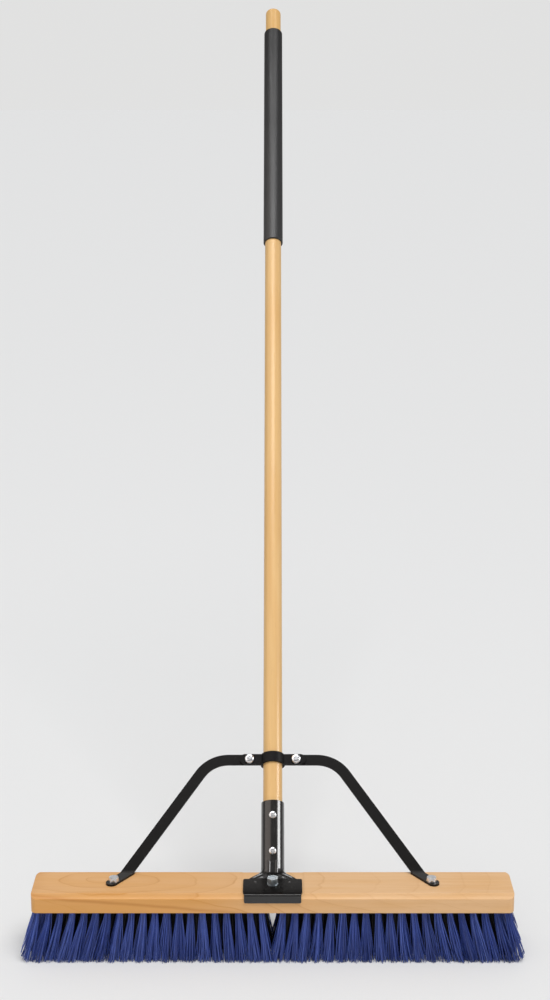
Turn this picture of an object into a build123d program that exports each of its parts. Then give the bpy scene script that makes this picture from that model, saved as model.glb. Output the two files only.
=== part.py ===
from build123d import *

import os
from math import asin, atan2, cos, radians, sin

# A push broom. X runs along the block, +Y points away from the user, +Z is up, and z = 0 is
# the floor under the bristle tips. The origin is under the middle of the block. The handle
# leans back over +Y. Lengths are in millimetres.

os.makedirs("parts", exist_ok=True)

# ---- block ----
BLOCK_LENGTH = 609.6
BLOCK_DEPTH = 69.85
BLOCK_HEIGHT = 25.4
COVE_SIZE = 5.5
COVE_HOLLOW = 1.0
NOSE_ROUND = 1.4
BLOCK_CORNER = 16.0
FRONT_CORNER = 7.0
BLOCK_EASING = 1.0
RECESS_DEPTH = 0.8
RECESS_SLOPE = 2.5

# ---- bristles ----
BRISTLE_LENGTH = 66.7
ROW_EDGE = 8.925
ROW_NAMES = ["front", "front_inner", "middle", "back_inner", "back"]
TUFT_PITCH = 14.9
TUFT_DIAMETER = 7.5
TUFT_ROOT = 10.0
FIRST_TUFT = 14.0
TUFT_END_MARGIN = 7.0
ROW_SPREAD = 1.29
ROW_TIP_GAP = 1.2
END_FLARE = 19.0
END_ROUND = 12.0
MIDDLE_GAP_HEIGHT = 37.0
TUFT_GAP_HEIGHT = 30.0
TUFT_CLEARANCE = 0.1
TUFT_HOLE_DEPTH = 12.0
ANCHOR_THICKNESS = 0.5
ANCHOR_WIDTH = 6.6
ANCHOR_HEIGHT = 2.4
ANCHOR_CLEARANCE = 0.1

# ---- handle and grip ----
HANDLE_DIAMETER = 25.4
HANDLE_LENGTH = 1524.0
HANDLE_LEAN = 45.0
HANDLE_START = 15.0
AXIS_INSET = 5.925
TIP_ROUND = 5.0
GRIP_START = 1031.0
GRIP_LENGTH = 457.0
GRIP_WALL = 2.6
GRIP_ROUND = 1.2
GRIP_CLEARANCE = 0.02

# ---- socket bracket, pressed from one sheet ----
SHEET = 2.2
SOCKET_CLEARANCE = 0.2
SOCKET_START = 4.0
SOCKET_RIM = 93.0
PLATE_WIDTH = 75.0
FLANGE_WIDTH = 72.0
FLANGE_DROP = 11.7
SHOULDER_WIDTH = 62.0
SHOULDER_CORNER = 2.5
SHOULDER_FROM_BEND = 2.0
TONGUE_FROM_BEND = 3.5
TONGUE_END = 1.0
BEND_RADIUS = 1.6
FLANGE_CLEARANCE = 0.1
PLATE_CLEARANCE = 0.6
RIB_SPACING = 9.8
RIB_START = -5.4
RIB_END = 9.7
RIB_RADIUS = 2.3
RIB_STANDS = 1.1
DIMPLE_SPACING = 43.2
DIMPLE_FROM_BEND = 11.0
DIMPLE_RADIUS = 2.3
DIMPLE_HEIGHT = 1.2
BEAD_RADIUS = 3.0
BEAD_STANDS = 1.3
BEAD_INNER_X = 13.0
BEAD_INNER_FROM_BEND = 5.6
BEAD_INNER_RISE = 2.85
BEAD_OUTER_X = 24.5
BEAD_OUTER_FROM_BEND = 1.0
FLANGE_CORNER = 2.2

# ---- bolt through the block ----
BOLT_FROM_BEND = 17.0
BOLT_DIAMETER = 7.9
BOLT_HEAD_DIAMETER = 17.5
BOLT_HEAD_HEIGHT = 4.4
BOLT_SINK = 5.0
BOLT_SINK_CLEARANCE = 1.2
BOLT_SQUARE = 7.9
BOLT_SQUARE_HEIGHT = 4.0
BOLT_CLEARANCE = 0.2
WASHER_DIAMETER = 14.0
WASHER_THICKNESS = 1.5
LOCK_WASHER_DIAMETER = 12.6
LOCK_WASHER_THICKNESS = 1.8
LOCK_WASHER_GAP = 1.4
NUT_ACROSS_FLATS = 12.7
NUT_HEIGHT = 6.0
NUT_TURN = 20.0
BOLT_BELOW_NUT_TOP = 0.4

# ---- screws through the socket ----
SOCKET_SCREWS = {"socket_screw_lower": 23.1, "socket_screw_upper": 71.9}
SOCKET_SCREW_DIAMETER = 4.0
SOCKET_SCREW_LENGTH = 18.0
SOCKET_SCREW_HEAD = 9.8
SOCKET_SCREW_HEAD_HEIGHT = 3.2
SCREW_CLEARANCE = 0.05

# ---- brace and clamp ----
BAR_WIDTH = 14.3
BAR_THICKNESS = 3.0
CLAMP_ALONG = 154.0
CLAMP_SPLIT = 2.4
CLAMP_GAP = 0.5
CLAMP_SHEET = 2.4
CLAMP_EAR_END = 13.0
CLAMP_BOLT_FROM_HANDLE = 18.3
CLAMP_BOLT_DIAMETER = 6.0
CLAMP_HEAD_DIAMETER = 13.1
CLAMP_HEAD_HEIGHT = 4.2
CLAMP_NUT_ACROSS_FLATS = 10.0
CLAMP_NUT_HEIGHT = 5.0
CLAMP_BOLT_BEYOND_NUT = 1.5
FOLD_X = 187.8
FOLD_INSET = 13.925
SHOULDER_X = 82.8
SHOULDER_RADIUS = 45.0
FOOT_LENGTH = 31.0
FOOT_SCREW_ALONG = 26.5
FOOT_SCREW_DIAMETER = 6.0
FOOT_SCREW_FROM_TUFTS = 1.4
FOOT_HEAD_ACROSS_FLATS = 12.7
FOOT_HEAD_HEIGHT = 5.0

# ---- worked out from the sizes above ----
block_bottom = BRISTLE_LENGTH
block_top = BRISTLE_LENGTH + BLOCK_HEIGHT
recess_floor = block_top - RECESS_DEPTH
plate_top = recess_floor + SHEET
handle_radius = HANDLE_DIAMETER / 2
tuft_radius = TUFT_DIAMETER / 2
tuft_hole_radius = tuft_radius + TUFT_CLEARANCE
bore_radius = handle_radius + SOCKET_CLEARANCE
socket_radius = bore_radius + SHEET
lean = radians(HANDLE_LEAN)
along = Vector(0, sin(lean), cos(lean))
front = Vector(0, -cos(lean), sin(lean))
half_depth = BLOCK_DEPTH / 2
axis_y = half_depth - AXIS_INSET
axis_foot = Vector(0, axis_y, block_top)
row_pitch = (BLOCK_DEPTH - 2 * ROW_EDGE) / (len(ROW_NAMES) - 1)
row_places = {
    name: row_pitch * (index - (len(ROW_NAMES) - 1) / 2) for index, name in enumerate(ROW_NAMES)
}


def tuft_columns(row):
    """The places of a row's tufts along X. Every second row stands half a pitch further out."""
    first = FIRST_TUFT + (ROW_NAMES.index(row) % 2) * TUFT_PITCH / 2
    steps = 1 + int((BLOCK_LENGTH / 2 - TUFT_END_MARGIN - first) / TUFT_PITCH)
    columns = [side * (first + TUFT_PITCH * step) for side in (-1, 1) for step in range(steps)]
    return sorted(columns)


def save(piece, name):
    """Label a finished sub-part and write it."""
    piece.part.label = name
    export_step(piece.part, f"parts/{name}.step")


def cross_section(distance):
    """A plane across the handle, with its own +Y pointing behind the handle."""
    return Plane(origin=axis_foot + along * distance, x_dir=(1, 0, 0), z_dir=along)


def front_plane(distance, height):
    """A plane facing the user, on the handle's front line, a height above its axis."""
    origin = axis_foot + along * distance + front * height
    return Plane(origin=origin, x_dir=(1, 0, 0), z_dir=front)


# The brace bar lies in one slanted plane, from its fold on the block up to the clamp. Its
# front face passes the handle's axis at the clamp's split.
fold_y = half_depth - FOLD_INSET
fold_point = Vector(0, fold_y, block_top + BAR_THICKNESS)
clamp_axis_point = axis_foot + along * CLAMP_ALONG
to_axis = clamp_axis_point - fold_point
brace_lean = atan2(to_axis.Y, to_axis.Z) - asin(CLAMP_SPLIT / to_axis.length)
brace_rise = (to_axis.length**2 - CLAMP_SPLIT**2) ** 0.5
brace_up = Vector(0, sin(brace_lean), cos(brace_lean))
brace_front = Vector(0, -cos(brace_lean), sin(brace_lean))
clamp_bolt_x = handle_radius + CLAMP_BOLT_FROM_HANDLE
clamp_length = 2 * (clamp_bolt_x + CLAMP_EAR_END)
brace_plane = Plane(origin=fold_point, x_dir=(1, 0, 0), z_dir=brace_front)
clamp_plane = Plane(origin=clamp_axis_point, x_dir=(1, 0, 0), z_dir=brace_up)
arm_angle = atan2(brace_rise, FOLD_X - SHOULDER_X)
foot_direction = Vector(cos(arm_angle), -sin(arm_angle))
foot_screws = {
    "foot_screw_left": Vector(-FOLD_X - FOOT_SCREW_ALONG * foot_direction.X,
                              fold_y + FOOT_SCREW_ALONG * foot_direction.Y),
    "foot_screw_right": Vector(FOLD_X + FOOT_SCREW_ALONG * foot_direction.X,
                               fold_y + FOOT_SCREW_ALONG * foot_direction.Y),
}
foot_screw_depth = BLOCK_HEIGHT - TUFT_HOLE_DEPTH - FOOT_SCREW_FROM_TUFTS
sink_radius = BOLT_HEAD_DIAMETER / 2 + BOLT_SINK_CLEARANCE

# The sheet's top surface bends up where the flat plate meets the socket's front line, and the
# bolt and the dimples are set out from that bend.
bend_rise = socket_radius * sin(lean) - (plate_top - block_top)
bend_y = axis_y - bend_rise * sin(lean) / cos(lean) - socket_radius * cos(lean)
bend_along = -bend_rise / cos(lean)
bolt_y = bend_y - BOLT_FROM_BEND
dimple_y = bend_y - DIMPLE_FROM_BEND

# ---- block: a cove runs along both long top edges ----
cove_low = block_top - COVE_SIZE
cove_middle = COVE_SIZE / 2 + COVE_HOLLOW / 2**0.5
recess_half = PLATE_WIDTH / 2 + PLATE_CLEARANCE
with BuildPart() as block:
    with BuildSketch(Plane.YZ) as end_profile:
        with BuildLine():
            Polyline(
                (-half_depth, cove_low),
                (-half_depth, block_bottom),
                (half_depth, block_bottom),
                (half_depth, cove_low),
            )
            ThreePointArc(
                (half_depth, cove_low),
                (half_depth - cove_middle, block_top - cove_middle),
                (half_depth - COVE_SIZE, block_top),
            )
            Line((half_depth - COVE_SIZE, block_top), (COVE_SIZE - half_depth, block_top))
            ThreePointArc(
                (COVE_SIZE - half_depth, block_top),
                (cove_middle - half_depth, block_top - cove_middle),
                (-half_depth, cove_low),
            )
        make_face()
        fillet(end_profile.vertices().group_by(Axis.Y)[1], NOSE_ROUND)
    extrude(amount=BLOCK_LENGTH / 2, both=True)
    with BuildSketch(Plane.XY.offset(block_bottom)) as outline:
        Rectangle(BLOCK_LENGTH, BLOCK_DEPTH)
        fillet(outline.vertices().group_by(Axis.Y)[0], FRONT_CORNER)
        fillet(outline.vertices().group_by(Axis.Y)[-1], BLOCK_CORNER)
    extrude(amount=BLOCK_HEIGHT, mode=Mode.INTERSECT)
    fillet(block.faces().sort_by(Axis.Z)[-1].edges(), BLOCK_EASING)
    fillet(block.faces().sort_by(Axis.Z)[0].edges(), BLOCK_EASING)
    with BuildSketch(Plane.XZ):
        with BuildLine():
            Polyline(
                (-recess_half, recess_floor),
                (recess_half, recess_floor),
                (recess_half + RECESS_SLOPE, block_top),
                (recess_half + RECESS_SLOPE, block_top + RECESS_DEPTH),
                (-recess_half - RECESS_SLOPE, block_top + RECESS_DEPTH),
                (-recess_half - RECESS_SLOPE, block_top),
                close=True,
            )
        make_face()
    extrude(amount=BLOCK_DEPTH, both=True, mode=Mode.SUBTRACT)
    with BuildSketch(Plane.XY.offset(block_bottom)):
        for row_name, row_y in row_places.items():
            with Locations(*[(x, row_y) for x in tuft_columns(row_name)]):
                Circle(tuft_hole_radius)
    extrude(amount=TUFT_HOLE_DEPTH, mode=Mode.SUBTRACT)
    with BuildSketch(Plane.XY.offset(block_bottom)):
        with Locations((0, bolt_y)):
            Circle(sink_radius)
    extrude(amount=BOLT_SINK, mode=Mode.SUBTRACT)
    with BuildSketch(Plane.XY.offset(block_bottom + BOLT_SINK)):
        with Locations((0, bolt_y)):
            Rectangle(BOLT_SQUARE + BOLT_CLEARANCE, BOLT_SQUARE + BOLT_CLEARANCE)
    extrude(amount=BOLT_SQUARE_HEIGHT + BOLT_CLEARANCE, mode=Mode.SUBTRACT)
    with BuildSketch(Plane.XY.offset(block_bottom)):
        with Locations((0, bolt_y)):
            Circle(BOLT_DIAMETER / 2 + BOLT_CLEARANCE)
    extrude(amount=BLOCK_HEIGHT, mode=Mode.SUBTRACT)
    with BuildSketch(Plane.XY.offset(block_top)):
        with Locations(*[(place.X, place.Y) for place in foot_screws.values()]):
            Circle(FOOT_SCREW_DIAMETER / 2 + SCREW_CLEARANCE)
    extrude(amount=-foot_screw_depth - BOLT_CLEARANCE, mode=Mode.SUBTRACT)
save(block, "block")


# ---- bristle rows ----
def comb_outline(columns):
    """The front outline of a row: tufts that start apart under the block and meet lower down."""
    reach = columns[-1] + tuft_radius
    points = [(-reach, block_bottom)]
    for left, right in zip(columns, columns[1:]):
        middle = (left + right) / 2
        height = MIDDLE_GAP_HEIGHT if left < 0 < right else TUFT_GAP_HEIGHT
        lean_out = 1 + END_FLARE / reach * (1 - height / BRISTLE_LENGTH)
        points.append((left + tuft_radius, block_bottom))
        points.append((middle * lean_out, height))
        points.append((right - tuft_radius, block_bottom))
    points.append((reach, block_bottom))
    points.append((reach + END_FLARE, END_ROUND))
    points.append((reach + END_FLARE - END_ROUND, 0))
    points.append((END_ROUND - reach - END_FLARE, 0))
    points.append((-reach - END_FLARE, END_ROUND))
    return points


row_tip_half = (row_pitch * ROW_SPREAD - ROW_TIP_GAP) / 2
slot_depth = ANCHOR_HEIGHT + 2 * ANCHOR_CLEARANCE
for row_name, row_y in row_places.items():
    tip_y = row_y * ROW_SPREAD
    columns = tuft_columns(row_name)
    with BuildPart() as bristle_row:
        with BuildSketch(Plane.XZ):
            with BuildLine():
                Polyline(*comb_outline(columns), close=True)
            make_face()
        extrude(amount=BLOCK_DEPTH, both=True)
        with BuildSketch(Plane.YZ):
            with BuildLine():
                Polyline(
                    (row_y - tuft_radius, block_bottom),
                    (row_y + tuft_radius, block_bottom),
                    (tip_y + row_tip_half, 0),
                    (tip_y - row_tip_half, 0),
                    close=True,
                )
            make_face()
        extrude(amount=BLOCK_LENGTH, both=True, mode=Mode.INTERSECT)
        with BuildSketch(Plane.XY.offset(block_bottom)):
            with Locations(*[(x, row_y) for x in columns]):
                Circle(tuft_radius)
        extrude(amount=TUFT_ROOT)
        with BuildSketch(Plane.XY.offset(block_bottom + TUFT_ROOT)):
            with Locations((0, row_y)):
                Rectangle(BLOCK_LENGTH, ANCHOR_THICKNESS + 2 * ANCHOR_CLEARANCE)
        extrude(amount=-slot_depth, mode=Mode.SUBTRACT)
    save(bristle_row, f"bristles_{row_name}")

    with BuildPart() as row_anchors:
        with BuildSketch(Plane.XY.offset(block_bottom + TUFT_ROOT - ANCHOR_CLEARANCE)):
            with Locations(*[(x, row_y) for x in columns]):
                Rectangle(ANCHOR_WIDTH, ANCHOR_THICKNESS)
        extrude(amount=-ANCHOR_HEIGHT)
    save(row_anchors, f"tuft_anchors_{row_name}")

# ---- handle ----
with BuildPart() as handle:
    with BuildSketch(cross_section(HANDLE_START)):
        Circle(handle_radius)
    extrude(amount=HANDLE_LENGTH)
    fillet(handle.edges().sort_by(Axis.Z)[-1], TIP_ROUND)
    for distance in SOCKET_SCREWS.values():
        with BuildSketch(front_plane(distance, socket_radius)):
            Circle(SOCKET_SCREW_DIAMETER / 2 + SCREW_CLEARANCE)
        extrude(amount=-SOCKET_SCREW_LENGTH - SOCKET_CLEARANCE, mode=Mode.SUBTRACT)
save(handle, "handle")

# ---- foam grip ----
grip_radius = handle_radius + GRIP_WALL
with BuildPart() as foam_grip:
    with BuildSketch(cross_section(GRIP_START)):
        Circle(grip_radius)
    extrude(amount=GRIP_LENGTH)
    fillet(foam_grip.edges().filter_by(GeomType.CIRCLE), GRIP_ROUND)
    with BuildSketch(cross_section(GRIP_START)):
        Circle(handle_radius + GRIP_CLEARANCE)
    extrude(amount=GRIP_LENGTH, mode=Mode.SUBTRACT)
save(foam_grip, "foam_grip")


# ---- socket bracket ----
def strip_section(plane, half_width, sag):
    """The cut through a curved strip of sheet. Its top middle is the plane's origin."""
    radius = (half_width**2 + sag**2) / (2 * sag)
    half_angle = asin(min(1.0, half_width / radius))
    inner_x = (radius - SHEET) * sin(half_angle)
    inner_y = radius - (radius - SHEET) * cos(half_angle)
    with BuildSketch(plane) as section:
        with BuildLine():
            ThreePointArc((-half_width, sag), (0, 0), (half_width, sag))
            Line((half_width, sag), (inner_x, inner_y))
            ThreePointArc((inner_x, inner_y), (0, SHEET), (-inner_x, inner_y))
            Line((-inner_x, inner_y), (-half_width, sag))
        make_face()
    return section.sketch


middle_sections = [(3.5, 25.0, 3.5), (9.1, 18.5, 9.5)]
tongue = [strip_section(
    Plane(origin=(0, bend_y - TONGUE_FROM_BEND, plate_top), x_dir=(1, 0, 0), z_dir=(0, 1, 0)),
    SHOULDER_WIDTH / 2, 0.2)]
for beyond_bend, half_width, sag in middle_sections:
    section_plane = Plane(
        origin=axis_foot + along * (bend_along + beyond_bend) + front * socket_radius,
        x_dir=(1, 0, 0), z_dir=along)
    tongue.append(strip_section(section_plane, half_width, sag))
tongue.append(strip_section(
    Plane(origin=axis_foot + along * TONGUE_END + front * socket_radius,
          x_dir=(1, 0, 0), z_dir=along), socket_radius, socket_radius))

plate_front = -half_depth - FLANGE_CLEARANCE
shoulder_y = bend_y - SHOULDER_FROM_BEND
rounded_front = plate_front + BEND_RADIUS + SHEET
with BuildPart() as socket_bracket:
    with BuildSketch(Plane.YZ):
        with BuildLine():
            Polyline(
                (shoulder_y - SHOULDER_CORNER, recess_floor),
                (shoulder_y - SHOULDER_CORNER, plate_top),
                (plate_front - SHEET, plate_top),
                (plate_front - SHEET, plate_top - FLANGE_DROP),
                (plate_front, plate_top - FLANGE_DROP),
                (plate_front, recess_floor),
                close=True,
            )
        make_face()
    extrude(amount=FLANGE_WIDTH / 2, both=True)
    bend_edge = socket_bracket.edges().filter_by(Axis.X).group_by(Axis.Z)[-1].sort_by(Axis.Y)[0]
    fillet(bend_edge, BEND_RADIUS + SHEET / 2)
    flange_corners = socket_bracket.edges().filter_by(Axis.Y).group_by(Axis.Z)[0]
    fillet(flange_corners, FLANGE_CORNER)
    with BuildSketch(Plane.XY.offset(recess_floor)):
        with Locations((0, (shoulder_y + rounded_front) / 2)):
            RectangleRounded(PLATE_WIDTH, shoulder_y - rounded_front, SHOULDER_CORNER)
    extrude(amount=SHEET)
    loft(tongue)
    with BuildSketch(cross_section(TONGUE_END)):
        Circle(socket_radius)
        Circle(bore_radius, mode=Mode.SUBTRACT)
        with Locations((0, socket_radius)):
            Rectangle(2 * socket_radius, 2 * socket_radius, mode=Mode.SUBTRACT)
    extrude(amount=SOCKET_START - TONGUE_END)
    with BuildSketch(cross_section(SOCKET_START)):
        Circle(socket_radius)
        Circle(bore_radius, mode=Mode.SUBTRACT)
    extrude(amount=SOCKET_RIM - SOCKET_START)
    # Two short ribs stiffen the bend, a bead runs along each shoulder, and two dimples mark the
    # plate's pressed seats.
    rib_height = (socket_radius**2 - (RIB_SPACING / 2) ** 2) ** 0.5 + RIB_STANDS - RIB_RADIUS
    for side in (-1, 1):
        rib_foot = axis_foot + along * RIB_START + front * rib_height + Vector(side * RIB_SPACING / 2, 0, 0)
        with BuildSketch(Plane(origin=rib_foot, x_dir=(1, 0, 0), z_dir=along)):
            Circle(RIB_RADIUS)
        extrude(amount=RIB_END - RIB_START)
        with Locations(rib_foot, rib_foot + along * (RIB_END - RIB_START)):
            Sphere(RIB_RADIUS)
        bead_depth = BEAD_RADIUS - BEAD_STANDS
        bead_inner = Vector(
            side * BEAD_INNER_X, bend_y + BEAD_INNER_FROM_BEND, plate_top + BEAD_INNER_RISE - bead_depth)
        bead_outer = Vector(side * BEAD_OUTER_X, bend_y + BEAD_OUTER_FROM_BEND, plate_top - bead_depth)
        with BuildSketch(Plane(origin=bead_inner, z_dir=bead_outer - bead_inner)):
            Circle(BEAD_RADIUS)
        extrude(amount=(bead_outer - bead_inner).length)
        with Locations(bead_inner, bead_outer):
            Sphere(BEAD_RADIUS)
        with BuildSketch(Plane.XZ.offset(-dimple_y)) as dimple:
            with BuildLine():
                centre_x = side * DIMPLE_SPACING / 2
                Line((centre_x, plate_top - SHEET / 2), (centre_x, plate_top + DIMPLE_HEIGHT))
                ThreePointArc(
                    (centre_x, plate_top + DIMPLE_HEIGHT),
                    (centre_x + 0.6 * DIMPLE_RADIUS, plate_top + 0.7 * DIMPLE_HEIGHT),
                    (centre_x + DIMPLE_RADIUS, plate_top))
                Line((centre_x + DIMPLE_RADIUS, plate_top), (centre_x + DIMPLE_RADIUS, plate_top - SHEET / 2))
                Line((centre_x + DIMPLE_RADIUS, plate_top - SHEET / 2), (centre_x, plate_top - SHEET / 2))
            make_face()
        revolve(axis=Axis((centre_x, dimple_y, plate_top), (0, 0, 1)))
    # The pressed tongue stays above the recess it lies in.
    with BuildSketch(Plane.XY.offset(recess_floor)):
        with Locations((0, axis_y / 2)):
            Rectangle(2 * PLATE_WIDTH, axis_y)
    extrude(amount=-BLOCK_HEIGHT, mode=Mode.SUBTRACT)
    with BuildSketch(Plane.XY.offset(recess_floor)):
        with Locations((0, bolt_y)):
            Circle(BOLT_DIAMETER / 2 + BOLT_CLEARANCE)
    extrude(amount=2 * SHEET, mode=Mode.SUBTRACT)
    for distance in SOCKET_SCREWS.values():
        with BuildSketch(front_plane(distance, 0)):
            Circle(SOCKET_SCREW_DIAMETER / 2 + BOLT_CLEARANCE)
        extrude(amount=2 * socket_radius, mode=Mode.SUBTRACT)
save(socket_bracket, "socket_bracket")

# ---- carriage bolt, washers and nut ----
washer_bottom = plate_top
lock_bottom = washer_bottom + WASHER_THICKNESS
nut_bottom = lock_bottom + LOCK_WASHER_THICKNESS
bolt_end = nut_bottom + NUT_HEIGHT - BOLT_BELOW_NUT_TOP
head_seat = block_bottom + BOLT_SINK
with BuildPart() as carriage_bolt:
    with BuildSketch(Plane.XY.offset(head_seat)):
        with Locations((0, bolt_y)):
            Circle(BOLT_HEAD_DIAMETER / 2)
    extrude(amount=-BOLT_HEAD_HEIGHT)
    fillet(carriage_bolt.edges().sort_by(Axis.Z)[0], 0.9 * BOLT_HEAD_HEIGHT)
    with BuildSketch(Plane.XY.offset(head_seat)):
        with Locations((0, bolt_y)):
            Rectangle(BOLT_SQUARE, BOLT_SQUARE)
    extrude(amount=BOLT_SQUARE_HEIGHT)
    with BuildSketch(Plane.XY.offset(head_seat)):
        with Locations((0, bolt_y)):
            Circle(BOLT_DIAMETER / 2)
    extrude(amount=bolt_end - head_seat)
    chamfer(carriage_bolt.edges().sort_by(Axis.Z)[-1], BOLT_DIAMETER / 10)
save(carriage_bolt, "carriage_bolt")

with BuildPart() as flat_washer:
    with BuildSketch(Plane.XY.offset(washer_bottom)):
        with Locations((0, bolt_y)):
            Circle(WASHER_DIAMETER / 2)
            Circle(BOLT_DIAMETER / 2 + BOLT_CLEARANCE, mode=Mode.SUBTRACT)
    extrude(amount=WASHER_THICKNESS)
save(flat_washer, "flat_washer")

with BuildPart() as lock_washer:
    with BuildSketch(Plane.XY.offset(lock_bottom)):
        with Locations((0, bolt_y)):
            Circle(LOCK_WASHER_DIAMETER / 2)
            Circle(BOLT_DIAMETER / 2 + BOLT_CLEARANCE, mode=Mode.SUBTRACT)
        with Locations((LOCK_WASHER_DIAMETER / 2, bolt_y)):
            Rectangle(LOCK_WASHER_DIAMETER, LOCK_WASHER_GAP, mode=Mode.SUBTRACT)
    extrude(amount=LOCK_WASHER_THICKNESS)
save(lock_washer, "lock_washer")


def hex_nut(plane, across_flats, height, hole_radius, turn=0.0):
    """A hexagon nut that stands on a plane, with both rims of its corners turned off."""
    with BuildPart() as nut:
        with BuildSketch(plane):
            RegularPolygon(across_flats / 2, 6, major_radius=False, rotation=turn)
        extrude(amount=height)
        with BuildSketch(plane):
            Circle(across_flats / 2 * 1.12)
        extrude(amount=height, mode=Mode.INTERSECT)
        with BuildSketch(plane):
            Circle(hole_radius)
        extrude(amount=height, mode=Mode.SUBTRACT)
    return nut


bolt_nut = hex_nut(
    Plane((0, bolt_y, nut_bottom)), NUT_ACROSS_FLATS, NUT_HEIGHT,
    BOLT_DIAMETER / 2 + BOLT_CLEARANCE / 2, NUT_TURN)
save(bolt_nut, "bolt_nut")


# ---- screws ----
def pan_screw(plane, length):
    """A pan-head screw that enters along the plane's -Z, with a cross recess in its head."""
    with BuildPart() as screw:
        with BuildSketch(plane):
            Circle(SOCKET_SCREW_HEAD / 2)
        extrude(amount=SOCKET_SCREW_HEAD_HEIGHT)
        fillet(screw.faces().sort_by(Axis(plane.origin, plane.z_dir))[-1].edges(),
               0.8 * SOCKET_SCREW_HEAD_HEIGHT)
        with BuildSketch(plane.offset(SOCKET_SCREW_HEAD_HEIGHT)):
            Rectangle(SOCKET_SCREW_HEAD / 2, SOCKET_SCREW_HEAD / 6)
            Rectangle(SOCKET_SCREW_HEAD / 6, SOCKET_SCREW_HEAD / 2)
        extrude(amount=-SOCKET_SCREW_HEAD_HEIGHT / 2, mode=Mode.SUBTRACT)
        with BuildSketch(plane):
            Circle(SOCKET_SCREW_DIAMETER / 2)
        extrude(amount=-length)
    return screw


for screw_name, distance in SOCKET_SCREWS.items():
    save(pan_screw(front_plane(distance, socket_radius), SOCKET_SCREW_LENGTH), screw_name)

for screw_name, place in foot_screws.items():
    head_plane = Plane((place.X, place.Y, block_top + BAR_THICKNESS))
    with BuildPart() as foot_screw:
        with BuildSketch(head_plane):
            RegularPolygon(FOOT_HEAD_ACROSS_FLATS / 2, 6, major_radius=False)
        extrude(amount=FOOT_HEAD_HEIGHT)
        with BuildSketch(head_plane):
            Circle(FOOT_HEAD_ACROSS_FLATS / 2 * 1.1)
        extrude(amount=FOOT_HEAD_HEIGHT, taper=12, mode=Mode.INTERSECT)
        with BuildSketch(head_plane):
            Circle(FOOT_SCREW_DIAMETER / 2)
        extrude(amount=-BAR_THICKNESS - foot_screw_depth)
    save(foot_screw, screw_name)

# ---- brace bar ----
clamp_inner = handle_radius + CLAMP_GAP
foot_half = BAR_WIDTH / 2
arm_overrun = BAR_WIDTH
with BuildPart() as brace_bar:
    with BuildSketch(brace_plane):
        with BuildLine() as bar_line:
            FilletPolyline(
                (-FOLD_X - arm_overrun * cos(arm_angle), -arm_overrun * sin(arm_angle)),
                (-SHOULDER_X, brace_rise),
                (SHOULDER_X, brace_rise),
                (FOLD_X + arm_overrun * cos(arm_angle), -arm_overrun * sin(arm_angle)),
                radius=SHOULDER_RADIUS,
            )
        trace(line_width=BAR_WIDTH)
        with Locations((0, -2 * BAR_WIDTH)):
            Rectangle(3 * FOLD_X, 4 * BAR_WIDTH, mode=Mode.SUBTRACT)
    extrude(amount=-BAR_THICKNESS)
    with BuildSketch(clamp_plane):
        Circle(clamp_inner + BAR_THICKNESS)
        with Locations((0, -CLAMP_SPLIT - clamp_inner)):
            Rectangle(4 * clamp_inner, 2 * clamp_inner, mode=Mode.SUBTRACT)
    extrude(amount=BAR_WIDTH / 2, both=True)
    with BuildSketch(clamp_plane):
        Circle(clamp_inner)
    extrude(amount=BAR_WIDTH, both=True, mode=Mode.SUBTRACT)
    for side in (-1, 1):
        foot_end = Vector(side * (FOLD_X + FOOT_LENGTH * foot_direction.X),
                          fold_y + FOOT_LENGTH * foot_direction.Y)
        foot_back = Vector(side * (FOLD_X - BAR_WIDTH * foot_direction.X),
                           fold_y - BAR_WIDTH * foot_direction.Y)
        with BuildSketch(Plane.XY.offset(block_top)):
            with BuildLine():
                Line((foot_back.X, foot_back.Y), (foot_end.X, foot_end.Y))
            trace(line_width=BAR_WIDTH)
            with Locations((foot_end.X, foot_end.Y)):
                Circle(foot_half)
            with Locations((side * FOLD_X, fold_y + 2 * BAR_WIDTH + BAR_THICKNESS * brace_up.Z)):
                Rectangle(6 * BAR_WIDTH, 4 * BAR_WIDTH, mode=Mode.SUBTRACT)
        extrude(amount=BAR_THICKNESS)
    with BuildSketch(Plane.XY.offset(block_top)):
        with Locations(*[(place.X, place.Y) for place in foot_screws.values()]):
            Circle(FOOT_SCREW_DIAMETER / 2 + BOLT_CLEARANCE)
    extrude(amount=BAR_THICKNESS, mode=Mode.SUBTRACT)
    with BuildSketch(brace_plane):
        with Locations((-clamp_bolt_x, brace_rise), (clamp_bolt_x, brace_rise)):
            Circle(CLAMP_BOLT_DIAMETER / 2 + BOLT_CLEARANCE)
    extrude(amount=-BAR_THICKNESS, mode=Mode.SUBTRACT)
save(brace_bar, "brace_bar")

# ---- handle clamp: the front half of the clamp, with an ear each side ----
with BuildPart() as handle_clamp:
    with BuildSketch(clamp_plane):
        Circle(clamp_inner + CLAMP_SHEET)
        with Locations((0, -CLAMP_SPLIT - CLAMP_SHEET / 2)):
            Rectangle(clamp_length, CLAMP_SHEET)
        Circle(clamp_inner, mode=Mode.SUBTRACT)
        with Locations((0, 2 * clamp_inner - CLAMP_SPLIT)):
            Rectangle(4 * clamp_inner, 4 * clamp_inner, mode=Mode.SUBTRACT)
    extrude(amount=BAR_WIDTH / 2, both=True)
    with BuildSketch(brace_plane):
        with Locations((0, brace_rise)):
            SlotOverall(clamp_length, BAR_WIDTH)
    extrude(amount=2 * clamp_inner, mode=Mode.INTERSECT)
    with BuildSketch(brace_plane):
        with Locations((-clamp_bolt_x, brace_rise), (clamp_bolt_x, brace_rise)):
            Circle(CLAMP_BOLT_DIAMETER / 2 + BOLT_CLEARANCE)
    extrude(amount=CLAMP_SHEET, mode=Mode.SUBTRACT)
save(handle_clamp, "handle_clamp")

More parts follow.
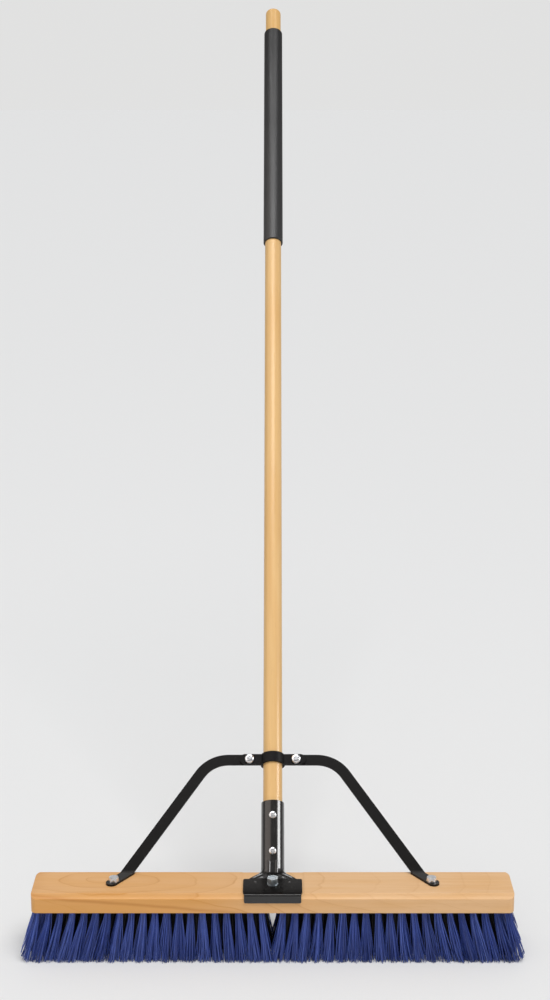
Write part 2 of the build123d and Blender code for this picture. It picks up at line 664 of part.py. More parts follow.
# ---- clamp bolts and nuts ----
bolt_reach = CLAMP_SHEET + BAR_THICKNESS + CLAMP_NUT_HEIGHT + CLAMP_BOLT_BEYOND_NUT
for side_name, side in (("left", -1), ("right", 1)):
    bar_face = fold_point + brace_up * brace_rise + Vector(side * clamp_bolt_x, 0, 0)
    head_plane = Plane(origin=bar_face + brace_front * CLAMP_SHEET, x_dir=(1, 0, 0), z_dir=brace_front)
    with BuildPart() as clamp_bolt:
        with BuildSketch(head_plane):
            Circle(CLAMP_HEAD_DIAMETER / 2)
        extrude(amount=CLAMP_HEAD_HEIGHT)
        fillet(clamp_bolt.faces().sort_by(Axis(head_plane.origin, head_plane.z_dir))[-1].edges(),
               0.9 * CLAMP_HEAD_HEIGHT)
        with BuildSketch(head_plane):
            Circle(CLAMP_BOLT_DIAMETER / 2)
        extrude(amount=-bolt_reach)
    save(clamp_bolt, f"clamp_bolt_{side_name}")
    nut_plane = Plane(origin=bar_face - brace_front * BAR_THICKNESS, x_dir=(1, 0, 0), z_dir=-brace_front)
    clamp_nut = hex_nut(nut_plane, CLAMP_NUT_ACROSS_FLATS, CLAMP_NUT_HEIGHT,
                        CLAMP_BOLT_DIAMETER / 2 + BOLT_CLEARANCE / 2)
    save(clamp_nut, f"clamp_nut_{side_name}")
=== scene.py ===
import math
import random

import bmesh
import bpy
import numpy as np
from mathutils import Matrix, Vector


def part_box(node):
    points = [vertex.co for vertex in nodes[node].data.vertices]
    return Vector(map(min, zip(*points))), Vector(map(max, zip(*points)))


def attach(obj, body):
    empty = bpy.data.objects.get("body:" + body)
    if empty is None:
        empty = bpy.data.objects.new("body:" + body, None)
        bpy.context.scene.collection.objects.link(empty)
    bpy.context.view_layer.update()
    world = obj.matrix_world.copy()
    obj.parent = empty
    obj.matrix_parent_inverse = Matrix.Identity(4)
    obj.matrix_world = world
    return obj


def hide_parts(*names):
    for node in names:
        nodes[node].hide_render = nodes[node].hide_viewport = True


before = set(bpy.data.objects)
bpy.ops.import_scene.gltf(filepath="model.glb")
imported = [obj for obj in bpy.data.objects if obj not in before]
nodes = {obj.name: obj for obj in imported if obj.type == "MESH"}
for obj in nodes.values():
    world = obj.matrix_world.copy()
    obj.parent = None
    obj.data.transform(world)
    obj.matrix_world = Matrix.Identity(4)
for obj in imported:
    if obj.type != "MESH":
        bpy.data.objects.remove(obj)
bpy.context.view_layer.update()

# A push broom: wooden block and handle, pressed bracket, flat-bar brace, foam grip and five
# rows of blue and black bristles. Lengths are in metres, in the frame of the CAD model.

bpy.ops.object.select_all(action="DESELECT")

MM = 0.001
BLOCK_LOW, BLOCK_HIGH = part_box("block")
HANDLE_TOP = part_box("handle")[1].z
HANDLE_LEAN = math.radians(45)
# How far the bracket's plate and the brace's feet stand above the block.
PLATE_STANDS = 1.4 * MM
FOOT_STANDS = 3.0 * MM


# ---------------------------------------------------------------- shader helpers
def new_material(name):
    """A material with one Principled shader. Returns the material, its tree and the shader."""
    material = bpy.data.materials.new(name)
    material.use_nodes = True
    tree = material.node_tree
    tree.nodes.clear()
    shader = tree.nodes.new("ShaderNodeBsdfPrincipled")
    output = tree.nodes.new("ShaderNodeOutputMaterial")
    tree.links.new(shader.outputs["BSDF"], output.inputs["Surface"])
    return material, tree, shader


def add(tree, kind, **settings):
    """A node with its properties and unlinked input values set."""
    node = tree.nodes.new(kind)
    values = settings.pop("values", {})
    for key, value in settings.items():
        setattr(node, key, value)
    for key, value in values.items():
        node.inputs[key].default_value = value
    return node


def link(tree, source, target):
    tree.links.new(source, target)


def feed(tree, socket, value):
    """Links a socket to an input, or sets the input to a number or a colour."""
    if isinstance(value, bpy.types.NodeSocket):
        link(tree, value, socket)
    elif isinstance(value, (int, float)):
        socket.default_value = value
    else:
        socket.default_value = (*value, 1.0)


def maths(tree, operation, *operands, clamp=False):
    """A Math node. Each operand is a socket or a number."""
    node = add(tree, "ShaderNodeMath", operation=operation, use_clamp=clamp)
    for socket, operand in zip(node.inputs, operands):
        feed(tree, socket, operand)
    return node.outputs[0]


def times(tree, value, *factors):
    for factor in factors:
        value = maths(tree, "MULTIPLY", value, factor)
    return value


def plus(tree, value, *terms):
    for term in terms:
        value = maths(tree, "ADD", value, term)
    return value


def away_from(tree, value, level):
    """How far the value is from the level, either way."""
    return maths(tree, "ABSOLUTE", maths(tree, "SUBTRACT", value, level))


def fade(tree, value, start, end, first, last, smooth=False):
    """Goes from first to last as the value goes from start to end, and holds beyond them."""
    node = add(tree, "ShaderNodeMapRange", interpolation_type="SMOOTHSTEP" if smooth else "LINEAR",
               values={"From Min": start, "From Max": end, "To Min": first, "To Max": last})
    link(tree, value, node.inputs["Value"])
    return node.outputs["Result"]


def object_coordinates(tree, turn=(0.0, 0.0, 0.0), shift=(0.0, 0.0, 0.0)):
    """Object coordinates, shifted and turned so that a pattern runs along the piece."""
    texture = tree.nodes.new("ShaderNodeTexCoord")
    mapping = add(
        tree, "ShaderNodeMapping", vector_type="POINT", values={"Rotation": turn, "Location": shift})
    link(tree, texture.outputs["Object"], mapping.inputs["Vector"])
    return mapping.outputs["Vector"]


def x_y_z(tree, vector):
    node = add(tree, "ShaderNodeSeparateXYZ")
    link(tree, vector, node.inputs[0])
    return node.outputs["X"], node.outputs["Y"], node.outputs["Z"]


def stretched(tree, vector, scale):
    """The coordinates scaled by a different amount along each axis."""
    node = add(tree, "ShaderNodeVectorMath", operation="MULTIPLY")
    link(tree, vector, node.inputs[0])
    node.inputs[1].default_value = scale
    return node.outputs[0]


def noise_value(tree, vector, scale, detail=2.0, roughness=0.5, distortion=0.0):
    node = add(tree, "ShaderNodeTexNoise", values={
        "Scale": scale, "Detail": detail, "Roughness": roughness, "Distortion": distortion})
    link(tree, vector, node.inputs["Vector"])
    return node.outputs["Fac"]


def ramp(tree, factor, stops):
    """A colour ramp. Each stop is a position with a colour, or with a number for a grey."""
    node = add(tree, "ShaderNodeValToRGB")
    band = node.color_ramp
    while len(band.elements) < len(stops):
        band.elements.new(0.5)
    for element, (position, colour) in zip(band.elements, stops):
        element.position = position
        element.color = (colour, colour, colour, 1.0) if isinstance(colour, float) else (*colour, 1.0)
    link(tree, factor, node.inputs["Fac"])
    return node.outputs["Color"]


def mix_colour(tree, factor, a, b):
    node = add(tree, "ShaderNodeMix", data_type="RGBA")
    # A Mix node keeps its colours in its seventh and eighth inputs.
    for socket, value in ((node.inputs[0], factor), (node.inputs[6], a), (node.inputs[7], b)):
        feed(tree, socket, value)
    return node.outputs[2]


def bump(tree, height, strength, distance, shader):
    node = add(tree, "ShaderNodeBump", values={"Strength": strength, "Distance": distance})
    link(tree, height, node.inputs["Height"])
    link(tree, node.outputs["Normal"], shader.inputs["Normal"])


def new_group(name, inputs, outputs):
    """A shader node group with named sockets. Returns the tree, its inputs and its outputs."""
    tree = bpy.data.node_groups.new(name, "ShaderNodeTree")
    for socket_name, socket_type in inputs:
        tree.interface.new_socket(name=socket_name, in_out="INPUT", socket_type=socket_type)
    for socket_name, socket_type in outputs:
        tree.interface.new_socket(name=socket_name, in_out="OUTPUT", socket_type=socket_type)
    start = tree.nodes.new("NodeGroupInput")
    end = tree.nodes.new("NodeGroupOutput")
    return tree, start.outputs, end.inputs


def use_group(tree, group, **values):
    """Places a group. Each value is a socket, a number or a colour."""
    node = add(tree, "ShaderNodeGroup", node_tree=group)
    for key, value in values.items():
        feed(tree, node.inputs[key.replace("_", " ")], value)
    return node.outputs


# ---------------------------------------------------------------- shared effects
NUMBER, COLOUR, VECTOR = "NodeSocketFloat", "NodeSocketColor", "NodeSocketVector"


def make_wood_grain():
    """Sawn wood whose fibres run along Z: growth rings about a slanted pith, streaks and pores."""
    tree, put, out = new_group(
        "wood_grain",
        [("Vector", VECTOR), ("Pith Slope", NUMBER), ("Rings", NUMBER), ("Waver", NUMBER),
         ("Drift", NUMBER), ("Ring Strength", NUMBER), ("Streaks", NUMBER), ("Light", COLOUR),
         ("Dark", COLOUR), ("Warm", COLOUR)],
        [("Color", COLOUR), ("Roughness", NUMBER), ("Height", NUMBER)])
    vector = put["Vector"]
    x, y, z = x_y_z(tree, vector)

    # The distance from the pith counts the rings, and wavers along the fibres.
    drift = noise_value(tree, stretched(tree, vector, (0.1, 0.1, 1.0)), 5.0, 1.0, 0.4)
    drift = times(tree, maths(tree, "SUBTRACT", drift, 0.5), put["Drift"])
    depth = plus(tree, x, times(tree, z, put["Pith Slope"]), drift)
    from_pith = maths(tree, "SQRT", plus(tree, times(tree, depth, depth), times(tree, y, y)))
    waver = noise_value(tree, stretched(tree, vector, (1.0, 1.0, 0.35)), 26.0, 2.0, 0.5, 0.3)
    count = plus(tree, times(tree, from_pith, put["Rings"]), times(tree, waver, put["Waver"]))
    line = ramp(tree, maths(tree, "FRACT", count), [
        (0.0, 0.08), (0.04, 0.0), (0.60, 0.04), (0.91, 0.24), (0.962, 1.0), (1.0, 0.08)])
    faint = noise_value(tree, stretched(tree, vector, (1.0, 1.0, 0.4)), 30.0, 1.0, 0.5)
    faint = ramp(tree, faint, [(0.30, 0.35), (0.62, 1.0)])
    faint = times(tree, faint, fade(tree, from_pith, 0.05, 0.11, 1.0, 0.22))
    line = times(tree, line, times(tree, faint, put["Ring Strength"]))

    streak = noise_value(tree, stretched(tree, vector, (1.0, 1.0, 0.030)), 240.0, 3.0, 0.6)
    streak_dark = times(tree, ramp(tree, streak, [(0.40, 0.0), (0.75, 1.0)]), put["Streaks"])
    tone = noise_value(tree, stretched(tree, vector, (1.0, 1.0, 0.12)), 58.0, 2.0, 0.5)
    warm = ramp(tree, tone, [(0.44, 0.0), (0.72, 1.0)])
    pores = noise_value(tree, stretched(tree, vector, (1.0, 1.0, 0.05)), 950.0, 1.0, 0.5)
    pore = ramp(tree, pores, [(0.66, 0.0), (0.74, 1.0)])

    colour = mix_colour(tree, times(tree, warm, 0.85), put["Light"], put["Warm"])
    colour = mix_colour(tree, maths(tree, "ADD", line, streak_dark, clamp=True), colour, put["Dark"])
    colour = mix_colour(tree, times(tree, pore, 0.22), colour, put["Dark"])
    link(tree, colour, out["Color"])
    link(tree, plus(tree, times(tree, streak, 0.16), 0.26), out["Roughness"])
    link(tree, maths(tree, "SUBTRACT", times(tree, streak, 0.5), times(tree, pore, 0.6)), out["Height"])
    return tree


def make_paint_marks():
    """Marks of handling on paint: a soft mottle, pinholes and dust, and the height of its skin."""
    tree, put, out = new_group(
        "paint_marks",
        [("Vector", VECTOR), ("Base", COLOUR), ("Dust", COLOUR), ("Amount", NUMBER)],
        [("Color", COLOUR), ("Roughness", NUMBER), ("Height", NUMBER)])
    vector = put["Vector"]
    mottle = noise_value(tree, vector, 60.0, 3.0, 0.55)
    speck = ramp(tree, noise_value(tree, vector, 900.0, 1.0, 0.5), [(0.70, 0.0), (0.76, 1.0)])
    patches = ramp(tree, noise_value(tree, vector, 95.0, 2.0, 0.6), [(0.48, 0.0), (0.66, 1.0)])
    dust = times(tree, speck, patches, put["Amount"])
    film = times(tree, patches, times(tree, put["Amount"], 0.02))
    colour = mix_colour(tree, maths(tree, "ADD", dust, film, clamp=True), put["Base"], put["Dust"])
    link(tree, colour, out["Color"])
    link(tree, plus(tree, times(tree, mottle, 0.14), times(tree, dust, 0.4)), out["Roughness"])
    peel = noise_value(tree, vector, 420.0, 1.0, 0.4)
    link(tree, plus(tree, peel, times(tree, mottle, 0.7)), out["Height"])
    return tree


WOOD_GRAIN = make_wood_grain()
PAINT_MARKS = make_paint_marks()


# ---------------------------------------------------------------- finishes
def warm_front_edge(tree, colour, strength):
    """Redder heartwood along the board's front, strongest towards the left, with a late-wood streak."""
    heartwood, late_wood = (0.69, 0.31, 0.062), (0.50, 0.200, 0.045)
    streak_slope, streak_depth, streak_half_width, streak_strength = 0.087, 26.2 * MM, 3.4 * MM, 0.62
    vector = object_coordinates(tree)
    x, y, z = x_y_z(tree, vector)
    edge = fade(tree, y, -26 * MM, -36 * MM, 0.50, 1.0)
    end = fade(tree, x, -140 * MM, 80 * MM, 1.0, 0.05, smooth=True)
    warmer = times(tree, edge, end)
    colour = mix_colour(tree, times(tree, warmer, strength), colour, heartwood)
    wander = noise_value(tree, stretched(tree, vector, (0.25, 1.0, 1.0)), 60.0, 2.0, 0.5)
    level = plus(tree, z, times(tree, x, streak_slope), times(tree, wander, 5 * MM))
    off_line = away_from(tree, level, BLOCK_HIGH.z - streak_depth)
    streak = fade(tree, off_line, 0.0, streak_half_width, 1.0, 0.0)
    streak = times(tree, streak, warmer, streak_strength)
    return mix_colour(tree, streak, colour, late_wood)


def varnished_wood(name, *, turn, pith, light, dark, warm, pith_slope, rings, waver, drift, ring_strength,
                   streaks, heart, varnish, coat_roughness, matt, bare_level):
    """Clear-varnished wood with its fibres along the piece.

    Heart is how warm the front edge is. Above the bare level most of the varnish has been worn away.
    """
    specular, bare_share, bare_edge = 0.22, 0.12, 4 * MM
    material, tree, shader = new_material(name)
    grain = use_group(
        tree, WOOD_GRAIN, Vector=object_coordinates(tree, turn, pith), Pith_Slope=pith_slope, Rings=rings,
        Waver=waver, Drift=drift, Ring_Strength=ring_strength, Streaks=streaks, Light=light, Dark=dark,
        Warm=warm)
    colour = grain["Color"]
    if heart:
        colour = warm_front_edge(tree, colour, heart)
    link(tree, colour, shader.inputs["Base Color"])
    link(tree, plus(tree, grain["Roughness"], matt), shader.inputs["Roughness"])
    bump(tree, grain["Height"], 0.18, 0.2 * MM, shader)
    shader.inputs["Coat Weight"].default_value = varnish
    shader.inputs["Coat Roughness"].default_value = coat_roughness
    shader.inputs["Specular IOR Level"].default_value = specular
    if bare_level:
        z = x_y_z(tree, object_coordinates(tree))[2]
        left = fade(tree, z, bare_level, bare_level + bare_edge, 1.0, bare_share)
        link(tree, times(tree, left, varnish), shader.inputs["Coat Weight"])
        link(tree, times(tree, left, specular), shader.inputs["Specular IOR Level"])
    return material


def dull_the_plate(tree, shader, level, coat, reflectance):
    """Takes the gloss off the flat plate at the given level, most at its front and round the nut."""
    x, y, z = x_y_z(tree, object_coordinates(tree))
    gloss = fade(tree, away_from(tree, z, level), 0.1 * MM, 0.4 * MM, 0.0, 1.0)
    # The foot of the tongue, round the nut, is dull too. Below the plate the flange keeps its gloss.
    beside = fade(tree, maths(tree, "ABSOLUTE", x), 9.5 * MM, 16.5 * MM, 0.15, 1.0, smooth=True)
    above = fade(tree, z, level + 4.2 * MM, level + 6.2 * MM, 0.0, 1.0)
    below = maths(tree, "LESS_THAN", z, level)
    off_centre = maths(tree, "MAXIMUM", maths(tree, "MAXIMUM", beside, above), below)
    link(tree, times(tree, gloss, coat, off_centre), shader.inputs["Coat Weight"])
    worn = fade(tree, y, -33 * MM, -4 * MM, 0.08, 0.72)
    film = times(tree, maths(tree, "SUBTRACT", 1.0, gloss), worn)
    film = times(tree, plus(tree, gloss, film), reflectance, off_centre)
    link(tree, film, shader.inputs["Specular IOR Level"])


def polish_the_feet(tree, shader, level, reflectance):
    """Gives the flat feet at the given level a shine that ends a little way up the legs."""
    z = x_y_z(tree, object_coordinates(tree))[2]
    film = fade(tree, away_from(tree, z, level), 0.6 * MM, 2.4 * MM, 0.42, reflectance)
    link(tree, film, shader.inputs["Specular IOR Level"])


def painted_steel(name, *, base, dust, amount, roughness, coat, peel, reflectance, dull_level=None,
                  foot_level=None):
    """Black paint on steel, with the dust and pinholes of handling."""
    material, tree, shader = new_material(name)
    marks = use_group(tree, PAINT_MARKS, Vector=object_coordinates(tree), Base=base, Dust=dust, Amount=amount)
    link(tree, marks["Color"], shader.inputs["Base Color"])
    link(tree, plus(tree, marks["Roughness"], roughness), shader.inputs["Roughness"])
    bump(tree, marks["Height"], peel, 0.2 * MM, shader)
    shader.inputs["Coat Weight"].default_value = coat
    shader.inputs["Coat Roughness"].default_value = 0.14
    shader.inputs["Specular IOR Level"].default_value = reflectance
    if dull_level:
        dull_the_plate(tree, shader, dull_level, coat, reflectance)
    if foot_level:
        polish_the_feet(tree, shader, foot_level, reflectance)
    return material


def plated_steel(name, colour, roughness, wear=0.12):
    """Zinc plate with the faint cloudiness and fine scratches of loose hardware."""
    material, tree, shader = new_material(name)
    red, green, blue = colour
    vector = object_coordinates(tree)
    cloud = noise_value(tree, vector, 260.0, 3.0, 0.6)
    scratches = noise_value(tree, stretched(tree, vector, (1.0, 0.2, 0.2)), 2600.0, 1.0, 0.5)
    dim = tuple(0.80 * channel for channel in colour)
    yellowed = (red * 0.98, green * 0.94, blue * 0.82)
    tint = ramp(tree, cloud, [(0.30, dim), (0.52, colour), (0.75, yellowed)])
    link(tree, tint, shader.inputs["Base Color"])
    link(tree, plus(tree, times(tree, cloud, 0.22), roughness), shader.inputs["Roughness"])
    bump(tree, plus(tree, scratches, cloud), wear, 0.1 * MM, shader)
    shader.inputs["Metallic"].default_value = 1.0
    return material


def foam_rubber(name):
    """Closed-cell foam: a fine open grain, more polished towards the lower end, where a hand pushes."""
    polished_level, dull_level = 0.88, 1.15
    material, tree, shader = new_material(name)
    vector = object_coordinates(tree, (HANDLE_LEAN, 0.0, 0.0))
    cells = add(tree, "ShaderNodeTexVoronoi", values={"Scale": 1500.0})
    link(tree, vector, cells.inputs["Vector"])
    grain = noise_value(tree, vector, 2200.0, 2.0, 0.6)
    rubbed = noise_value(tree, stretched(tree, vector, (1.0, 1.0, 0.3)), 45.0, 3.0, 0.5)
    colour = ramp(tree, rubbed, [
        (0.30, (0.021, 0.0207, 0.021)), (0.55, (0.026, 0.0253, 0.026)), (0.80, (0.034, 0.033, 0.033))])
    colour = mix_colour(tree, times(tree, grain, 0.30), colour, (0.012, 0.012, 0.012))
    link(tree, colour, shader.inputs["Base Color"])
    link(tree, plus(tree, times(tree, rubbed, -0.12), 0.46), shader.inputs["Roughness"])
    bump(tree, plus(tree, cells.outputs["Distance"], times(tree, grain, 0.6)), 0.20, 0.3 * MM, shader)
    z = x_y_z(tree, object_coordinates(tree))[2]
    link(tree, fade(tree, z, polished_level, dull_level, 0.34, 0.09), shader.inputs["Specular IOR Level"])
    return material


def filament(name, dark, middle, light, tip):
    """Drawn plastic filament. Each strand has its own shade, painted shade darkens it towards its tip near
    the floor, and its cut tip is paler.
    """
    material, tree, shader = new_material(name)
    shade = add(tree, "ShaderNodeAttribute", attribute_type="GEOMETRY", attribute_name="strand_shade")
    vector = object_coordinates(tree)
    along = noise_value(tree, stretched(tree, vector, (1.0, 1.0, 0.1)), 900.0, 2.0, 0.5)
    tone = plus(tree, times(tree, shade.outputs["Fac"], 0.8), times(tree, along, 0.25))
    colour = ramp(tree, tone, [(0.05, dark), (0.50, middle), (0.95, light)])
    z = x_y_z(tree, vector)[2]
    # Painted shade: the strands are darkened towards their tips, a fifth at the floor, fading out 40 mm above
    # it.
    colour = mix_colour(tree, fade(tree, z, 4 * MM, 40 * MM, 0.20, 0.0), colour, (0.0, 0.0, 0.0))
    colour = mix_colour(tree, fade(tree, z, 0.0, 3.5 * MM, 0.55, 0.0), colour, tip)
    link(tree, colour, shader.inputs["Base Color"])
    link(tree, plus(tree, times(tree, along, 0.2), 0.30), shader.inputs["Roughness"])
    shader.inputs["Specular IOR Level"].default_value = 0.40
    return material


BLOCK_WOOD = varnished_wood(
    "block_wood", turn=(0.0, math.radians(-90), 0.0), pith=(BLOCK_HIGH.z + 3 * MM, -6 * MM, 228 * MM),
    light=(0.795, 0.50, 0.262), dark=(0.54, 0.245, 0.075), warm=(0.755, 0.435, 0.185), pith_slope=-0.31,
    rings=68.0, waver=0.8, drift=0.05, ring_strength=0.80, streaks=0.15, heart=0.75, varnish=0.06,
    coat_roughness=0.30, matt=0.05, bare_level=None)
HANDLE_WOOD = varnished_wood(
    "handle_wood", turn=(HANDLE_LEAN, 0.0, 0.0), pith=(12 * MM, -8 * MM, -500 * MM),
    light=(0.785, 0.49, 0.197), dark=(0.54, 0.28, 0.085), warm=(0.745, 0.435, 0.155), pith_slope=0.004,
    rings=170.0, waver=0.8, drift=0.004, ring_strength=0.45, streaks=0.16, heart=0.0, varnish=0.48,
    coat_roughness=0.22, matt=0.16, bare_level=HANDLE_TOP - 50 * MM)
BRACKET_PAINT = painted_steel(
    "bracket_paint", base=(0.007, 0.0063, 0.0061), dust=(0.30, 0.28, 0.26), amount=0.50, roughness=0.16,
    coat=0.50, peel=0.012, reflectance=0.45, dull_level=BLOCK_HIGH.z + PLATE_STANDS)
STRAP_PAINT = painted_steel(
    "strap_paint", base=(0.0045, 0.0041, 0.0041), dust=(0.22, 0.20, 0.19), amount=0.20, roughness=0.44,
    coat=0.02, peel=0.08, reflectance=0.13, foot_level=BLOCK_HIGH.z + FOOT_STANDS)
ZINC = plated_steel("zinc_plate", (0.90, 0.915, 0.955), 0.17)
SCREW_ZINC = plated_steel("screw_zinc", (0.84, 0.85, 0.88), 0.22, wear=0.02)
DULL_ZINC = plated_steel("dull_zinc", (0.49, 0.535, 0.57), 0.28)
ANCHOR_WIRE = plated_steel("anchor_wire", (0.60, 0.60, 0.62), 0.30)
GRIP_FOAM = foam_rubber("grip_foam")
BLUE_FILAMENT = filament(
    "blue_filament", dark=(0.020, 0.032, 0.125), middle=(0.046, 0.079, 0.335), light=(0.115, 0.180, 0.58),
    tip=(0.13, 0.15, 0.23))
BLACK_FILAMENT = filament(
    "black_filament", dark=(0.003, 0.003, 0.004), middle=(0.007, 0.006, 0.007), light=(0.018, 0.016, 0.016),
    tip=(0.05, 0.05, 0.05))

ROWS = ["front", "front_inner", "middle", "back_inner", "back"]
FINISHES = [
    (BLOCK_WOOD, ["block"]),
    (HANDLE_WOOD, ["handle"]),
    (GRIP_FOAM, ["foam_grip"]),
    (BRACKET_PAINT, ["socket_bracket"]),
    (STRAP_PAINT, ["brace_bar", "handle_clamp"]),
    (DULL_ZINC, ["carriage_bolt", "flat_washer", "lock_washer", "bolt_nut"]),
    (ZINC, ["socket_screw_upper", "socket_screw_lower"]),
    (ZINC, ["clamp_bolt_left", "clamp_bolt_right", "clamp_nut_left", "clamp_nut_right"]),
    (SCREW_ZINC, ["foot_screw_left", "foot_screw_right"]),
    (ANCHOR_WIRE, [f"tuft_anchors_{name}" for name in ROWS]),
]


def finish_node(name, material):
    """Gives a CAD node its finish. Its mesh stays as it is."""
    mesh = nodes[name].data
    mesh.materials.clear()
    mesh.materials.append(material)
    for face in mesh.polygons:
        face.material_index = 0


for material, names in FINISHES:
    for name in names:
        finish_node(name, material)

# ---------------------------------------------------------------- bristles
# The tufts stand in their drilled holes: five rows across the block. The second and the fourth row
# are set half a pitch along.
ROW_EDGE = 8.925 * MM
TUFT_PITCH = 14.9 * MM
FIRST_TUFT = 14.0 * MM
END_MARGIN = 7.0 * MM
TUFT_RADIUS = 3.7 * MM
# One strand.
STRANDS_PER_TUFT = 76
STRAND_RADIUS = 0.36 * MM
STRAND_CUTS = 4
STRAND_IN_HOLE = 4.0 * MM
LEAN_CURVE = 1.12
BOW_X, BOW_Y = 0.9 * MM, 0.5 * MM
# How unevenly the strands are coloured, from tuft to tuft and within one.
TUFT_SHADE = 0.08
STRAND_SHADE = (2.0, 2.2)
# Each half of the broom fans out from its own middle, more towards the end than towards the centre.
HALF_MIDDLE = 105 * MM
FAN_INWARD, FAN_OUTWARD, FAN_LIMIT = 0.088, 0.13, 16.5 * MM
# How a tuft opens between its hole and its tips, and how unevenly the tips fall.
ROOT_FILL = 0.90
OPEN_X, OPEN_X_VARIES, OPEN_Y = 2.45, 0.45, 2.0
STRAY_X, STRAY_Y, STRAY_Z = 1.9 * MM, 0.8 * MM, 0.5 * MM
ROW_SPREAD = 1.29
DEPTH_REACH = 40.9 * MM
END_GAP = 0.6 * MM
END_ROUND = 12.0 * MM
FIRST_SEED = 40


def model_strand():
    """One straight filament of unit length: a thin three-sided rod cut into short lengths."""
    bpy.ops.object.select_all(action="DESELECT")
    bpy.ops.mesh.primitive_cylinder_add(
        vertices=3, radius=STRAND_RADIUS, depth=1.0, location=(0, 0, 0.5), end_fill_type="NGON")
    strand = bpy.context.object
    bpy.ops.object.mode_set(mode="EDIT")
    bpy.ops.mesh.select_all(action="DESELECT")
    work = bmesh.from_edit_mesh(strand.data)
    for edge in work.edges:
        low, high = sorted(vertex.co.z for vertex in edge.verts)
        edge.select_set(high - low > 0.5)
    bmesh.update_edit_mesh(strand.data)
    bpy.ops.mesh.subdivide(number_cuts=STRAND_CUTS)
    bpy.ops.object.mode_set(mode="OBJECT")
    bpy.ops.object.transform_apply(location=True, rotation=True, scale=True)
    return strand


def tuft_columns(name):
    """Where the tufts of a row stand along the block."""
    first = FIRST_TUFT + (ROWS.index(name) % 2) * TUFT_PITCH / 2
    steps = 1 + int((BLOCK_HIGH.x - END_MARGIN - first) / TUFT_PITCH)
    return [side * (first + TUFT_PITCH * step) for side in (-1, 1) for step in range(steps)]


def fan_of(column):
    """How far the tips of a tuft stand along the block from its hole."""
    offset = column - math.copysign(HALF_MIDDLE, column)
    if abs(column) <= HALF_MIDDLE:
        return FAN_INWARD * offset
    return math.copysign(min(FAN_OUTWARD * abs(offset), FAN_LIMIT), offset)


def strand_ends(rng, column, row_y, edge_reach):
    """Where one strand leaves the block and where its tip stands."""
    angle = rng.uniform(0, 2 * math.pi)
    reach = TUFT_RADIUS * math.sqrt(rng.uniform(0, 1)) * ROOT_FILL
    root_x, root_y = reach * math.cos(angle), reach * math.sin(angle)
    opening = OPEN_X + rng.gauss(0, OPEN_X_VARIES)
    tip_x = column + fan_of(column) + root_x * opening + rng.gauss(0, STRAY_X)
    tip_y = row_y * ROW_SPREAD + root_y * OPEN_Y + rng.gauss(0, STRAY_Y)
    tip_y = max(-DEPTH_REACH, min(DEPTH_REACH, tip_y))
    tip_x = max(-edge_reach, min(edge_reach, tip_x))
    # The cut rises round the broom's two ends.
    over = abs(tip_x) - (edge_reach - END_ROUND)
    tip_z = abs(rng.gauss(0, STRAY_Z))
    if over > 0:
        tip_z += END_ROUND - math.sqrt(max(0.0, END_ROUND**2 - over**2))
    root = Vector((column + root_x, row_y + root_y, BLOCK_LOW.z))
    return root, Vector((tip_x, tip_y, tip_z))


def bent_strand(rng, shape, root, tip):
    """The strand's vertices, bent from its root in the hole to its tip."""
    bow = np.array(Vector((rng.gauss(0, BOW_X), rng.gauss(0, BOW_Y), 0)))
    root, tip = np.array(root), np.array(tip)
    twist = rng.uniform(0, 2 * math.pi)
    cos_t, sin_t = math.cos(twist), math.sin(twist)
    down = (1 - shape[:, 2])[:, None]
    lean = np.hstack([down**LEAN_CURVE, down**LEAN_CURVE, down])
    centre = root + (tip - root) * lean + bow * (4 * down * (1 - down))
    # Its top sixth rises into the hole.
    centre[:, 2] += STRAND_IN_HOLE * np.clip(1 - 6 * down[:, 0], 0, 1)
    offset = np.stack([shape[:, 0] * cos_t - shape[:, 1] * sin_t,
                       shape[:, 0] * sin_t + shape[:, 1] * cos_t, np.zeros(len(shape))], axis=1)
    return centre + offset


def plant_row(strand, name, row_y, seed):
    """Every tuft of one row, as copies of the strand bent from its hole down to the floor."""
    rng = random.Random(seed)
    shape = np.array([vertex.co for vertex in strand.data.vertices])
    faces = [tuple(face.vertices) for face in strand.data.polygons]
    inner_row = name not in ("front", "back")
    columns = tuft_columns(name)
    last_column = max(columns)
    edge_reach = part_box(f"bristles_{name}")[1].x - END_GAP
    points, all_faces, shades, finishes = [], [], [], []
    for column in columns:
        # The inner rows are black, but for the tuft at each end.
        blue = not inner_row or abs(column) > last_column - 1 * MM
        tuft_shade = rng.uniform(-TUFT_SHADE, TUFT_SHADE)
        for _ in range(STRANDS_PER_TUFT):
            root, tip = strand_ends(rng, column, row_y, edge_reach)
            first = len(points) * len(shape)
            points.append(bent_strand(rng, shape, root, tip))
            all_faces.extend(tuple(first + corner for corner in face) for face in faces)
            shades.append(min(1.0, max(0.0, rng.betavariate(*STRAND_SHADE) + tuft_shade)))
            finishes.append(0 if blue else 1)
    mesh = bpy.data.meshes.new(f"bristle_row_{name}")
    mesh.from_pydata(np.concatenate(points).tolist(), [], all_faces)
    attribute = mesh.attributes.new("strand_shade", "FLOAT", "POINT")
    attribute.data.foreach_set("value", np.repeat(np.array(shades, np.float32), len(shape)))
    mesh.materials.append(BLUE_FILAMENT)
    mesh.materials.append(BLACK_FILAMENT)
    mesh.polygons.foreach_set("material_index", np.repeat(np.array(finishes, np.int32), len(faces)))
    mesh.update()
    row = bpy.data.objects.new(f"bristle_row_{name}", mesh)
    bpy.context.scene.collection.objects.link(row)
    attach(row, "root")
    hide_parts(f"bristles_{name}")


strand = model_strand()
outer_row = BLOCK_HIGH.y - ROW_EDGE
middle = ROWS.index("middle")
for index, name in enumerate(ROWS):
    plant_row(strand, name, outer_row * (index - middle) / middle, FIRST_SEED + index)
bpy.data.objects.remove(strand)

